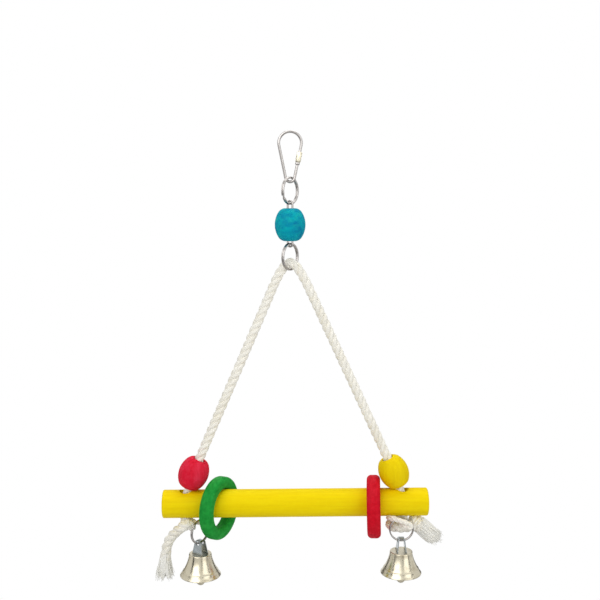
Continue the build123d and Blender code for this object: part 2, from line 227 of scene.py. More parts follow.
def tube_faces(rows, sides, closed=False):
    """Faces between rings of points. A closed tube joins its last ring to its first, an open one has caps."""
    faces = []
    for i in range(rows if closed else rows - 1):
        j = (i + 1) % rows
        faces += [(i * sides + q, i * sides + (q + 1) % sides, j * sides + (q + 1) % sides, j * sides + q)
                  for q in range(sides)]
    if not closed:
        faces.append(tuple(range(sides - 1, -1, -1)))
        faces.append(tuple((rows - 1) * sides + q for q in range(sides)))
    return faces


def swept(points, section, closed=False, first_side=any_side, scale=None):
    """Points and faces of a section, given in millimetres, swept along points in millimetres."""
    pts = np.asarray(points, float)
    sides, ups = carried_frames(pts, closed, first_side)
    section = np.asarray(section, float)
    grow = np.ones(len(pts)) if scale is None else np.asarray(scale, float)
    rows = (pts[:, None, :] + grow[:, None, None] * (
        section[None, :, :1] * sides[:, None, :] + section[None, :, 1:] * ups[:, None, :]))
    return list(rows.reshape(-1, 3)), tube_faces(*rows.shape[:2], closed)


def round_section(radius, count):
    """A circle as (x, y) pairs."""
    return [(radius * cos(tau * q / count), radius * sin(tau * q / count)) for q in range(count)]


def flat_section(half_x, half_y):
    """A rounded oblong section, as flattened wire has. A higher power gives squarer corners."""
    count, power = 16, 3.0
    out = []
    for q in range(count):
        c, s = cos(tau * q / count), sin(tau * q / count)
        out.append((half_x * np.sign(c) * abs(c)**(2 / power), half_y * np.sign(s) * abs(s)**(2 / power)))
    return out


print("sweep tools for round and flat wire")

# %% Spin an outline, join and place meshes


def spun(outline, count):
    """Points and faces of an outline of (radius, height) pairs spun about Z."""
    outline = np.asarray(outline, float)
    angles = np.arange(count) * tau / count
    verts = [(r * cos(a), r * sin(a), z) for a in angles for r, z in outline]
    m = len(outline)
    faces = []
    for i in range(count):
        j = (i + 1) % count
        faces += [(i * m + q, j * m + q, j * m + q + 1, i * m + q + 1) for q in range(m - 1)]
    return verts, faces


def joined(*parts):
    """Several point and face lists as one."""
    verts, faces = [], []
    for more_verts, more_faces in parts:
        start = len(verts)
        verts += [tuple(v) for v in more_verts]
        faces += [tuple(start + q for q in face) for face in more_faces]
    return verts, faces


def placed(part, turn):
    """A point and face list moved by a matrix that works in millimetres."""
    verts, faces = part
    return [tuple(turn @ Vector(v)) for v in verts], faces


print("spin, join and place tools")

# %% Make pieces


def new_piece(name, points, faces):
    """Make a smooth mesh object from points and faces."""
    mesh = bpy.data.meshes.new(name)
    mesh.from_pydata([tuple(p) for p in points], [], faces)
    mesh.validate()
    mesh.polygons.foreach_set("use_smooth", [True] * len(mesh.polygons))
    piece = bpy.data.objects.new(name, mesh)
    scene.collection.objects.link(piece)
    return piece


def piece_mm(name, part, material, body, replaced):
    """Make a piece from a millimetre mesh, hang it on its body and let it stand for CAD nodes."""
    verts, faces = part
    piece = new_piece(name, [Vector(v) * mm for v in verts], faces)
    piece.data.materials.append(material)
    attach(piece, body)
    if replaced:
        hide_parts(*replaced)
    print(name, "faces", len(piece.data.polygons))
    return piece


print("piece maker, one millimetre is", mm, "m")

# %% [markdown]
# ## Shared finishes
# Three effects turn up in more than one material, so each is a node group that a material can place with
# its own values. Dyed wood keeps its grain: the dye sinks deeper into some streaks and leaves paler ones.
# Plated metal has fine scratches and a dull stain. Cotton has lint and a little soil. Painted pictures could
# do the same, but a pattern made by nodes stays sharp close up and needs no unwrapping.

# %% Colour and node helpers


def tone(red, green, blue):
    """A picture colour from 0 to 255 as the linear colour that nodes use."""
    linear = []
    for value in (red, green, blue):
        share = value / 255
        linear.append(share / 12.92 if share <= 0.04045 else ((share + 0.055) / 1.055)**2.4)
    return (*linear, 1.0)


def group_with(name, inputs, outputs):
    """A new shader node group with named sockets, and its two end nodes."""
    group = bpy.data.node_groups.new(name, "ShaderNodeTree")
    for label, kind in inputs:
        group.interface.new_socket(label, in_out="INPUT", socket_type=kind)
    for label, kind in outputs:
        group.interface.new_socket(label, in_out="OUTPUT", socket_type=kind)
    return group, group.nodes.new("NodeGroupInput"), group.nodes.new("NodeGroupOutput")


def span_of(tree, source, low, high, to_low, to_high):
    """Stretch a value from one range to another, clamped."""
    made = tree.nodes.new("ShaderNodeMapRange")
    for key, value in (("From Min", low), ("From Max", high), ("To Min", to_low), ("To Max", to_high)):
        made.inputs[key].default_value = value
    tree.links.new(source, made.inputs["Value"])
    return made.outputs["Result"]


def mixed(tree, share, first, second):
    """Mix two colour sockets by a share. The node keeps its colours at inputs 6 and 7, and output 2."""
    made = tree.nodes.new("ShaderNodeMix")
    made.data_type = "RGBA"
    for key, value in ((0, share), (6, first), (7, second)):
        tree.links.new(value, made.inputs[key])
    return made.outputs[2]


def cloud(tree, vector, scale, detail, rough):
    """A noise texture that reads the given coordinates."""
    made = shader(tree, "ShaderNodeTexNoise", Scale=scale, Detail=detail, Roughness=rough)
    tree.links.new(vector, made.inputs["Vector"])
    return made.outputs["Fac"]


def worked(tree, kind, first, second):
    """One step of arithmetic, such as ADD or MULTIPLY, on sockets or plain numbers."""
    made = tree.nodes.new("ShaderNodeMath")
    made.operation = kind
    for key, value in ((0, first), (1, second)):
        if isinstance(value, bpy.types.NodeSocket):
            tree.links.new(value, made.inputs[key])
        else:
            made.inputs[key].default_value = value
    return made.outputs[0]


print("white is", tone(255, 255, 255))

# %% Dyed grain group
grain_group, grain_in, grain_out = group_with(
    "dyed_grain",
    [("Vector", "NodeSocketVector"), ("Stretch", "NodeSocketVector"), ("Dye", "NodeSocketColor"),
     ("Deep", "NodeSocketColor"), ("Pale", "NodeSocketColor"), ("Figure", "NodeSocketFloat")],
    [("Color", "NodeSocketColor"), ("Height", "NodeSocketFloat"), ("Roughness", "NodeSocketFloat")])
tree = grain_group
along_grain = tree.nodes.new("ShaderNodeVectorMath")
along_grain.operation = "MULTIPLY"
tree.links.new(grain_in.outputs["Vector"], along_grain.inputs[0])
tree.links.new(grain_in.outputs["Stretch"], along_grain.inputs[1])
rings = cloud(tree, along_grain.outputs[0], 0.35, 3, 0.55)
streaks = cloud(tree, along_grain.outputs[0], 1.5, 5, 0.6)
pores = cloud(tree, along_grain.outputs[0], 5.5, 2, 0.5)
blotch = cloud(tree, grain_in.outputs["Vector"], 420, 4, 0.65)
figure = grain_in.outputs["Figure"]
streak_share = worked(tree, "MULTIPLY", span_of(tree, streaks, 0.38, 0.72, 0, 1), figure)
ring_share = worked(tree, "MULTIPLY", span_of(tree, rings, 0.5, 0.68, 0, 0.8), figure)
pore_share = span_of(tree, pores, 0.62, 0.76, 0, 0.3)
coat = mixed(tree, ring_share, grain_in.outputs["Dye"], grain_in.outputs["Pale"])
coat = mixed(tree, streak_share, coat, grain_in.outputs["Deep"])
coat = mixed(tree, span_of(tree, blotch, 0.5, 0.75, 0, 0.4), coat, grain_in.outputs["Pale"])
coat = mixed(tree, pore_share, coat, grain_in.outputs["Deep"])
tree.links.new(coat, grain_out.inputs["Color"])
lift = worked(tree, "SUBTRACT", worked(tree, "MULTIPLY", streaks, 0.7), pore_share)
tree.links.new(lift, grain_out.inputs["Height"])
tree.links.new(span_of(tree, streaks, 0.3, 0.75, 0.5, 0.72), grain_out.inputs["Roughness"])
print("group", grain_group.name, "nodes", len(tree.nodes))

# %% Plated metal group
plate_group, plate_in, plate_out = group_with(
    "plated_metal",
    [("Vector", "NodeSocketVector"), ("Stretch", "NodeSocketVector"), ("Plate", "NodeSocketColor"),
     ("Stain", "NodeSocketColor"), ("Stain amount", "NodeSocketFloat"), ("Dullness", "NodeSocketFloat")],
    [("Color", "NodeSocketColor"), ("Height", "NodeSocketFloat"), ("Roughness", "NodeSocketFloat")])
tree = plate_group
drawn = tree.nodes.new("ShaderNodeVectorMath")
drawn.operation = "MULTIPLY"
tree.links.new(plate_in.outputs["Vector"], drawn.inputs[0])
tree.links.new(plate_in.outputs["Stretch"], drawn.inputs[1])
scratch = cloud(tree, drawn.outputs[0], 1.0, 4, 0.6)
haze = cloud(tree, plate_in.outputs["Vector"], 210, 4, 0.62)
stain_amount = plate_in.outputs["Stain amount"]
stain_share = worked(tree, "MULTIPLY", span_of(tree, haze, 0.5, 0.78, 0, 1), stain_amount)
plate_tone = mixed(tree, stain_share, plate_in.outputs["Plate"], plate_in.outputs["Stain"])
tree.links.new(plate_tone, plate_out.inputs["Color"])
tree.links.new(scratch, plate_out.inputs["Height"])
scratch_dull = span_of(tree, scratch, 0.35, 0.7, 0.03, 0.17)
dull = worked(tree, "ADD", scratch_dull, worked(tree, "MULTIPLY", stain_share, 0.12))
tree.links.new(worked(tree, "ADD", dull, plate_in.outputs["Dullness"]), plate_out.inputs["Roughness"])
print("group", plate_group.name, "nodes", len(tree.nodes))

# %% Cotton group
cotton_group, cotton_in, cotton_out = group_with(
    "cotton_fibre",
    [("Vector", "NodeSocketVector"), ("Clean", "NodeSocketColor"), ("Shade", "NodeSocketColor")],
    [("Color", "NodeSocketColor"), ("Height", "NodeSocketFloat"), ("Roughness", "NodeSocketFloat")])
tree = cotton_group
lint = cloud(tree, cotton_in.outputs["Vector"], 2600, 4, 0.65)
soil = cloud(tree, cotton_in.outputs["Vector"], 160, 3, 0.55)
clean, shade = cotton_in.outputs["Clean"], cotton_in.outputs["Shade"]
yarn_tone = mixed(tree, span_of(tree, soil, 0.42, 0.75, 0, 0.4), clean, shade)
yarn_tone = mixed(tree, span_of(tree, lint, 0.3, 0.5, 0.08, 0), yarn_tone, shade)
tree.links.new(yarn_tone, cotton_out.inputs["Color"])
tree.links.new(lint, cotton_out.inputs["Height"])
tree.links.new(span_of(tree, lint, 0.3, 0.7, 0.82, 0.96), cotton_out.inputs["Roughness"])
print("group", cotton_group.name, "nodes", len(tree.nodes))

# %% [markdown]
# A material places one group, gives it its own values, and wires it to a shader. Heights go through a Bump
# node whose distance is a tenth of a millimetre or less, about the depth of real pores and scratches.

# %% Material maker


def material_from(name, group, values, bump_strength, bump_distance, **plain):
    """A material whose colour, roughness and bump come from one group. Plain values go on the shader."""
    material = bpy.data.materials.new(name)
    material.use_nodes = True
    tree = material.node_tree
    face = tree.nodes["Principled BSDF"]
    place = tree.nodes.new("ShaderNodeTexCoord")
    effect = tree.nodes.new("ShaderNodeGroup")
    effect.node_tree = group
    for key, value in values.items():
        effect.inputs[key].default_value = value
    bump = shader(tree, "ShaderNodeBump", Strength=bump_strength, Distance=bump_distance)
    tree.links.new(place.outputs["Object"], effect.inputs["Vector"])
    tree.links.new(effect.outputs["Color"], face.inputs["Base Color"])
    tree.links.new(effect.outputs["Roughness"], face.inputs["Roughness"])
    tree.links.new(effect.outputs["Height"], bump.inputs["Height"])
    tree.links.new(bump.outputs["Normal"], face.inputs["Normal"])
    for key, value in plain.items():
        face.inputs[key.replace("_", " ")].default_value = value
    print("material", name)
    return material


# %% Dyed wood


def dyed_wood(name, grain, dye, deep, pale, figure, fine=420.0, coarse=26.0):
    """Dyed wood whose grain runs along X, Y or Z. A low fine value and a high coarse one give a swirl."""
    stretch = [fine, fine, fine]
    stretch["XYZ".index(grain)] = coarse
    return material_from(
        name, grain_group, {"Stretch": stretch, "Dye": dye, "Deep": deep, "Pale": pale, "Figure": figure},
        bump_strength=0.3, bump_distance=0.1 * mm, Specular_IOR_Level=0.08)


yellow_perch = dyed_wood("yellow_perch", "X", tone(250, 222, 0), tone(228, 188, 0), tone(252, 230, 18), 0.4)
yellow_dye = dyed_wood("yellow_dye", "Z", tone(246, 216, 0), tone(216, 178, 0), tone(250, 228, 20), 0.4)
red_dye = dyed_wood("red_dye", "Z", tone(226, 28, 56), tone(196, 10, 32), tone(238, 70, 96), 0.5)
red_ring_dye = dyed_wood("red_ring_dye", "Y", tone(214, 14, 38), tone(176, 6, 22), tone(228, 44, 62), 0.55)
green_dye = dyed_wood("green_dye", "Y", tone(32, 154, 58), tone(12, 112, 40), tone(56, 178, 74), 0.6)
turquoise_dye = dyed_wood(
    "turquoise_dye", "X", tone(0, 170, 184), tone(0, 112, 166), tone(36, 192, 170), 0.95,
    fine=190.0, coarse=70.0)

# %% Plated metals


def plated(name, stretch, plate, stain, stain_amount, dullness, bump_strength, bump_distance):
    """Bright metal with scratches drawn out by the stretch."""
    return material_from(
        name, plate_group,
        {"Stretch": stretch, "Plate": plate, "Stain": stain, "Stain amount": stain_amount,
         "Dullness": dullness},
        bump_strength, bump_distance, Metallic=1.0)


wire_plate = plated(
    "bright_wire", (500, 500, 500), tone(182, 178, 175), tone(112, 102, 94), 0.35, 0.06, 0.04, 0.03 * mm)
sleeve_plate = plated(
    "warm_sleeve", (900, 900, 220), tone(232, 225, 202), tone(196, 178, 136), 0.4, 0.2, 0.08, 0.04 * mm)
bell_plate = plated(
    "bell_nickel", (240, 240, 30), tone(198, 191, 170), tone(142, 128, 98), 0.55, 0.16, 0.03, 0.04 * mm)
# The hanger strip's plate and stain colours are tinted blue, a painted reflection of blue surroundings. The
# stain patches themselves are random dullness.
hanger_plate_painted_blue_reflection = plated(
    "hanger_strip_painted_blue_reflection", (300, 300, 300), tone(168, 176, 178), tone(96, 104, 110), 0.6, 0.14, 0.12, 0.04 * mm)

# %% Cotton
cotton = material_from(
    "cotton_rope", cotton_group, {"Clean": tone(253, 250, 240), "Shade": tone(234, 226, 202)},
    bump_strength=0.25, bump_distance=0.1 * mm,
    Specular_IOR_Level=0.12, Sheen_Weight=0.2, Sheen_Roughness=0.5)
# The frayed ends get a lighter copy of the rope's cotton, paler in both tones. This is painted light that
# offsets the shade among their loose fibres.
combed_cotton_painted_light = material_from(
    "combed_cotton_painted_light", cotton_group, {"Clean": tone(253, 252, 246), "Shade": tone(244, 240, 226)},
    bump_strength=0.15, bump_distance=0.1 * mm,
    Specular_IOR_Level=0.1, Sheen_Weight=0.3, Sheen_Roughness=0.6)

# %% [markdown]
# ## Rope
# The rope is one length of three strand cotton, about 5.4 mm thick. It comes up out of the left knot, goes
# through a perch hole and a bead, bends over the lower split ring and goes down the other side. A bevelled
# curve would be a smooth hose, so the route is a NURBS curve that is only read for its points, and three
# strands are wound round those points. Each strand has ridges for its yarns, which lie nearly straight
# along the rope because they are twisted the other way.

# %% Route of the rope
rope_r = 2.7

span_route = [
    (-61.2, 0, -221.5), (-61.2, 0, -205.9), (-47.9, 0, -174.0), (-16.3, 0, -101.0), (-3.95, 0, -71.845),
    (3.95, 0, -71.845), (17.4, 0, -101.0), (51.1, 0, -174.0), (65.7, 0, -205.9), (65.7, 0, -221.5),
]


def line_through(name, route):
    """Points, in millimetres, along a smooth NURBS curve with the route as its control points."""
    curve = bpy.data.curves.new(name, "CURVE")
    curve.dimensions = "3D"
    curve.resolution_u = 20
    spline = curve.splines.new("NURBS")
    spline.points.add(len(route) - 1)
    for point, place in zip(spline.points, route):
        point.co = (*(Vector(place) * mm), 1)
    spline.order_u = 3
    spline.use_endpoint_u = True
    guide = bpy.data.objects.new(name, curve)
    read = bpy.data.meshes.new_from_object(guide)
    points = np.array([v.co for v in read.vertices]) / mm
    bpy.data.objects.remove(guide)
    bpy.data.meshes.remove(read)
    bpy.data.curves.remove(curve)
    return points


def run_along(points):
    """How far along the line each point is."""
    return np.concatenate([[0], np.cumsum(np.linalg.norm(np.diff(points, axis=0), axis=1))])


def evenly(points, step):
    """The same line with its points a set distance apart."""
    run = run_along(points)
    at = np.linspace(0, run[-1], max(4, int(run[-1] / step)))
    return np.stack([np.interp(at, run, points[:, k]) for k in range(3)], 1)


span_line = line_through("rope_route", span_route)

# %% Twisted strands
strand_count = 3
strand_share, strand_reach = 0.53, 0.47
end_unwinds, end_thins, end_spreads = 0.75, 0.18, 0.22
yarn_ridge, yarn_turn, yarn_shift = 0.05, 0.9, 0.7


def twisted(points, radius, lay, step, sides, yarns=7, open_end=0.0):
    """Strands wound right handed round a line. With open_end they spread over that last length."""
    line = evenly(points, step)
    run = run_along(line)
    front = (0.05, 1.0, 0.02)
    side, up = carried_frames(line, first_side=front)
    loose = np.zeros(len(line))
    if open_end:
        loose = np.clip((run - (run[-1] - open_end)) / open_end, 0, 1)**1.5
    turn = np.cumsum(np.gradient(run) * tau / lay * (1 - end_unwinds * loose))
    strand_r = radius * strand_share * (1 - end_thins * loose)
    reach = radius * (strand_reach + end_spreads * loose)
    around = np.arange(sides) * tau / sides
    parts = []
    for k in range(strand_count):
        angle = turn + tau * k / strand_count
        centre = line + reach[:, None] * (np.cos(angle)[:, None] * side + np.sin(angle)[:, None] * up)
        s_side, s_up = carried_frames(centre, first_side=front)
        lean = around[None, :] + turn[:, None] * yarn_turn + yarn_shift * k
        ring = strand_r[:, None] * (1 + yarn_ridge * np.cos(yarns * lean))
        rows = (centre[:, None, :] + (ring * np.cos(around))[:, :, None] * s_side[:, None, :]
                + (ring * np.sin(around))[:, :, None] * s_up[:, None, :])
        parts.append((list(rows.reshape(-1, 3)), tube_faces(len(line), sides)))
    return joined(*parts)


def rope_piece(name, line, radius, lay, replaced=(), **look):
    """A length of twisted cotton that moves with the perch."""
    return piece_mm(name, twisted(line, radius, lay, **look), cotton, "swing", replaced)


rope_lay = 13.4
span_rope = rope_piece("rope_span_strands", span_line, rope_r, rope_lay, ["rope_span"],
                       step=0.33, sides=28, yarns=6)

# %% [markdown]
# ## Knots and rope ends
# Under the perch each end of the rope is turned round itself and pulled tight. A knot is just more rope, so
# it is wound along its own smooth line: out of the hole, round behind, across the front and off into the
# tail. One strand goes through the bell's ring, so the ring can swing on it. The ends have come unlaid.
# Hair particles could fill them, but those must be turned into a mesh before they export. A ridged middle
# with some hundred loose yarns and fibres round it, each with its own bend, looks as full and stays light.

# %% Left knot and tail
left_knot_route = [
    (-61.2, 0.4, -216.5), (-61.0, 2.0, -221.2), (-58.6, 3.6, -223.4), (-56.9, 0.8, -223.0),
    (-58.2, -2.8, -222.2), (-61.6, -2.4, -223.4), (-65.2, 0.6, -227.0), (-68.4, 3.2, -230.8),
    (-71.4, 5.2, -235.2), (-73.0, 6.6, -241.0), (-73.9, 7.8, -247.4),
]
left_end_line = line_through("left_end_route", left_knot_route)
left_end = rope_piece("left_knot_and_tail", left_end_line, 2.95, 16.0, ["left_knot", "left_tail"],
                      step=0.4, sides=28, open_end=10.0)

# %% Turn round the left knot


def wound(centre, along, across_r, depth_r, turns, pitch):
    """Route of turns wound round an axis, with Y as the depth direction."""
    count = 30
    along = Vector(along).normalized()
    deep = Vector((0, 1, 0))
    across = along.cross(deep).normalized()
    route = []
    for k in range(count):
        share = k / (count - 1) - 0.5
        turn = share * turns * tau
        route.append(tuple(Vector(centre) + along * share * turns * pitch + deep * depth_r * cos(turn)
                           + across * across_r * sin(turn)))
    return route


left_wrap_route = wound((-58.4, 0.3, -222.5), (0.75, 0, 0.66), 3.0, 3.4, turns=1.3, pitch=1.6)
left_wrap_line = line_through("left_wrap_route", left_wrap_route)
left_wrap = rope_piece("left_knot_wrap", left_wrap_line, 2.1, 10.0, step=0.35, sides=16, yarns=5)

# %% Right knot
right_knot_route = [
    (65.7, 0.4, -216.5), (65.5, 1.8, -221.6), (61.2, 3.4, -224.6), (57.6, 0.8, -225.2), (60.0, -1.6, -225.2),
    (65.0, -1.6, -225.9), (69.5, -1.4, -225.2), (73.0, 0.8, -224.8), (76.4, 3.0, -227.4),
]
right_end_line = line_through("right_end_route", right_knot_route)
right_end = rope_piece("right_knot_turns", right_end_line, 3.15, 11.5, ["right_knot", "right_tail"],
                       step=0.4, sides=28)

# %% Binding turns on the right knot
bind_route = wound((73.0, 1.2, -224.4), (0.93, 0.12, -0.34), 3.3, 3.2, turns=2.3, pitch=2.7)
bind_line = line_through("binding_route", bind_route)
binding = rope_piece("right_knot_binding", bind_line, 1.75, 9.0, step=0.35, sides=14, yarns=4)

# %% Strands that hold the bell rings
left_bell_turn = 50
left_neck = Matrix.Translation((-56.6, 0.6, -222.8)) @ Matrix.Rotation(radians(left_bell_turn), 4, "Z")
right_neck = Matrix.Translation((63.8, 0, -221.6))


def moved(route, neck):
    """A route written about a knot's neck, brought to its place."""
    return [tuple(neck @ Vector(p)) for p in route]


left_strand_route = [
    (-2.0, 2.6, 0.6), (0, -1.5, 1.0), (0, -6.6, 1.1), (1.3, -8.6, 0.6), (0.2, -8.2, -1.3), (-1.5, -8.5, 0.3),
    (-0.2, -8.9, 1.9), (1.2, -8.2, 1.0),
]
left_strand_line = line_through("left_strand_route", moved(left_strand_route, left_neck))
left_strand = rope_piece("left_ring_strand", left_strand_line, 1.1, 7.0, step=0.3, sides=12, yarns=4)
right_strand_route = [
    (1.2, 1.5, -1.2), (0.4, -3.0, 0.2), (0.2, -6.5, 0.4), (1.8, -9.2, -0.6), (5.2, -9.8, -1.6),
    (4.2, -10.5, 1.0), (-0.6, -9.9, 2.6), (-5.2, -8.8, 3.8), (-7.7, -6.3, 3.4), (-6.9, -2.4, 2.2),
    (-4.2, 0, -0.4),
]
right_strand_line = line_through("right_strand_route", moved(right_strand_route, right_neck))
right_strand = rope_piece("right_ring_strand", right_strand_line, 1.5, 9.0, step=0.3, sides=14, yarns=4)

# %% Packed middle of a frayed end


def combed(start, aim, root_r, tip_r, length, flat=1.0, droop=0.0):
    """The close packed middle of a frayed end, with soft ridges that wander and a ragged tip."""
    rows, sides, closes_at = 30, 80, 0.72
    aim = Vector(aim).normalized()
    side = aim.cross(Vector((0, 1, 0))).normalized()
    up = side.cross(aim)
    verts = []
    for i in range(rows):
        t = i / (rows - 1)
        closing = sqrt(max(0.004, 1 - max(0, (t - closes_at) / (1 - closes_at))**2))
        for q in range(sides):
            a = q * tau / sides
            ridge = 1 + 0.07 * cos(13 * a + 2 * sin(3 * t + a)) + 0.05 * cos(5 * a - 3 * t + 1.3)
            ragged = 1 + t * (0.06 * cos(7 * a) + 0.05 * cos(11 * a + 1))
            out = (side * cos(a) + up * sin(a) * flat) * (root_r + (tip_r - root_r) * t) * ridge * closing
            verts.append(Vector(start) + aim * length * t * ragged + out - Vector((0, 0, droop * t * t)))
    return verts, tube_faces(rows, sides)


left_root = left_end_line[-1]
left_aim = (-0.3, 1.6, -9.0)
left_core = combed(Vector(left_root) + Vector((0.4, -0.9, 5.0)), left_aim, 2.6, 4.4, 15.4)
right_root, right_aim = (74.3, 2.4, -224.8), (11.9, 4.0, -10.4)
right_core = combed(right_root, right_aim, 4.6, 4.6, 17.0, flat=0.72, droop=0.6)
print("packed middles, points", len(left_core[0]), len(right_core[0]))

# %% Loose yarns and fibres
yarn_thick, fibre_thick = (0.36, 0.56), (0.14, 0.22)
taper = [1, 1, 1, 1, 0.97, 0.93, 0.86, 0.74, 0.45]


def frayed(start, aim, root_r, tip_r, count, length, seed, thick, inner, flat=1.0, droop=0.0):
    """Loose yarns or fibres that fill a cone from a root circle to a tip circle, outside an inner share."""
    bend, ripple = 0.35, 0.3
    chance = random.Random(seed)
    aim = Vector(aim).normalized()
    side = aim.cross(Vector((0, 1, 0))).normalized()
    up = side.cross(aim)
    parts = []
    for _ in range(count):
        share = sqrt(inner**2 + (1 - inner**2) * chance.random())
        turn = chance.random() * tau
        out = side * cos(turn) + up * sin(turn) * flat
        root = Vector(start) + out * root_r * share + aim * chance.uniform(-2.5, 1.0)
        tip_share = min(1.2, share * chance.uniform(0.75, 1.25))
        tip = Vector(start) + out * tip_r * tip_share + aim * length * chance.uniform(0.74, 1.04)
        kink = Vector((chance.gauss(0, 1), chance.gauss(0, 1), chance.gauss(0, 1))) * bend
        line = []
        for k in range(len(taper)):
            t = k / (len(taper) - 1)
            wave = out * sin(t * 7 + turn * 5) * ripple * t
            line.append(root.lerp(tip, t) + wave + kink * t * (1.3 - t) - Vector((0, 0, droop * t * t)))
        parts.append(swept(line, round_section(chance.uniform(*thick), 6), scale=taper))
    return joined(*parts)


def tuft(name, *parts):
    """A frayed end as one piece that moves with the perch."""
    return piece_mm(name, joined(*parts), combed_cotton_painted_light, "swing", ())


left_yarns = frayed(left_root, left_aim, 2.7, 4.3, 40, 11.4, 11, yarn_thick, inner=0.75)
left_fibres = frayed(left_root, left_aim, 2.9, 5.4, 80, 12.2, 12, fibre_thick, inner=0.7)
left_tuft = tuft("left_frayed_end", left_core, left_yarns, left_fibres)
right_yarns = frayed(right_root, right_aim, 4.3, 4.2, 40, 17.0, 23, yarn_thick, 0.85, flat=0.72, droop=0.6)
right_fibres = frayed(right_root, right_aim, 4.5, 4.7, 90, 18.0, 24, fibre_thick, 0.85, flat=0.74, droop=0.6)
right_tuft = tuft("right_frayed_end", right_core, right_yarns, right_fibres)

# %% [markdown]
# ## Wooden pieces
# The perch, the beads and the rings are turned wood. Their solids already have the right shape, with
# rounded edges and rope holes, so they stay and take the dyed finishes.

# %% Dress the turned wood


def dress(node, material):
    """Give a CAD solid its finish."""
    solid = nodes[node]
    solid.data.materials.clear()
    solid.data.materials.append(material)


dyed = {
    "perch": yellow_perch, "turquoise_bead": turquoise_dye, "red_bead": red_dye, "yellow_bead": yellow_dye,
    "green_ring": green_dye, "red_ring": red_ring_dye,
}
for node, material in dyed.items():
    dress(node, material)
print("dyed pieces", len(dyed))

# %% [markdown]
# ## Quick link
# The quick link is one bent wire, open on the right, with a threaded end that a six sided sleeve closes.
# A torus pulled long would give the loop, but not the open gate. So the wire is swept round the two bows from
# end to end. Its upper end gets thread turns, and a spun collar stops the sleeve.

# %% Quick link wire
link_r = 0.8
top_r, top_z = 6.3, -5.5
foot_r, foot_z = 2.5, -24.3
slope = acos((top_r - foot_r) / (top_z - foot_z))
arm_x, arm_z = sin(slope), -cos(slope)
arm_top = Vector((top_r * arm_x, 0, top_z + top_r * arm_z))
arm_foot = Vector((foot_r * arm_x, 0, foot_z + foot_r * arm_z))
arm_down = (arm_foot - arm_top).normalized()
sleeve_drop, gate_gap = 9.4, 3.0
sleeve_foot = arm_top + arm_down * sleeve_drop
gate_top = sleeve_foot - arm_down * gate_gap


def arc_about(centre_z, radius, start, end, count):
    """Points on an arc about the Y axis, with angles measured from the top."""
    return [(radius * sin(a), 0, centre_z + radius * cos(a)) for a in np.linspace(start, end, count)]


lean = atan2(arm_x, arm_z)
wire_line = [tuple(gate_top + (arm_top - gate_top) * t) for t in np.linspace(0, 1, 30)[:-1]]
wire_line += arc_about(top_z, top_r, lean, -lean, 72)
wire_line += [tuple(Vector((-arm_top.x, 0, arm_top.z)).lerp(Vector((-arm_foot.x, 0, arm_foot.z)), t))
              for t in np.linspace(0, 1, 20)[1:-1]]
wire_line += arc_about(foot_z, foot_r, -lean, lean - tau, 40)
wire_line += [tuple(arm_foot.lerp(sleeve_foot, t)) for t in np.linspace(0, 1, 14)[1:]]
print("quick link wire points", len(wire_line))

# %% Thread and collar of the quick link
thread_long, thread_pitch, thread_depth = 6.2, 0.62, 0.07
run = run_along(np.array(wire_line))
thread_wave = 0.5 + 0.5 * np.sin(run * tau / thread_pitch)
thread = np.where(run < thread_long, 1 - thread_depth * thread_wave, 1.0)
thread[0] = 0.82
thread[-1] = 0.9
link_mesh = swept(wire_line, round_section(link_r, 20), first_side=(0, 1, 0), scale=thread)
collar_outline = [(0.7, 0.02), (1.05, 0.02), (1.25, 0.2), (1.25, 1.3), (1.1, 1.52), (0.8, 1.62)]
collar_turn = Matrix.Translation(sleeve_foot) @ arm_down.to_track_quat("Z", "Y").to_matrix().to_4x4()
collar_mesh = placed(spun(collar_outline, 40), collar_turn)
piece_mm("quick_link_wire", joined(link_mesh, collar_mesh), wire_plate,
         "hanging_link", ["link_wire"])

# %% Sleeve nut
corner_points = 8
bore_r = 0.87


def six_sided(across_flats, corner_round):
    """A hexagon with rounded corners as (x, y) pairs."""
    inner = across_flats / sqrt(3) - corner_round / cos(pi / 6)
    out = []
    for q in range(6):
        middle_turn = q * tau / 6
        cx, cy = inner * cos(middle_turn), inner * sin(middle_turn)
        for k in range(corner_points):
            a = middle_turn - pi / 6 + (pi / 3) * k / (corner_points - 1)
            out.append((cx + corner_round * cos(a), cy + corner_round * sin(a)))
    return out


hexagon = np.array(six_sided(across_flats=3.0, corner_round=0.3))
bore_angles = (np.arange(len(hexagon)) - (corner_points - 1) / 2) * tau / len(hexagon)
bore = bore_r * np.array([(cos(a), sin(a)) for a in bore_angles])
sleeve_rings = [
    (0.0, bore), (0.0, hexagon * 0.86), (0.22, hexagon * 0.96), (0.42, hexagon), (5.28, hexagon),
    (5.48, hexagon * 0.96), (5.7, hexagon * 0.86), (5.7, bore),
]
sleeve_points = [(x, y, z) for z, ring in sleeve_rings for x, y in ring]
sleeve_faces = tube_faces(len(sleeve_rings), len(hexagon), closed=True)
sleeve_turn = Matrix.Translation(sleeve_foot) @ (-arm_down).to_track_quat("Z", "Y").to_matrix().to_4x4()
sleeve = piece_mm("sleeve_nut_hex", placed((sleeve_points, sleeve_faces), sleeve_turn), sleeve_plate,
                  "sleeve_nut", ["sleeve_nut"])
edge_keep = sleeve.modifiers.new("keep_edges", "EDGE_SPLIT")
edge_keep.split_angle = radians(34)

# %% [markdown]
# ## Split rings
# A split ring is one flattened wire wound twice round, so it shows two edges side by side, a step where one
# turn crosses to the other, and two cut ends. A plain torus has none of that. The wire is swept along two
# turns, with a short joggle, and the ends are left square.

# %% Split rings


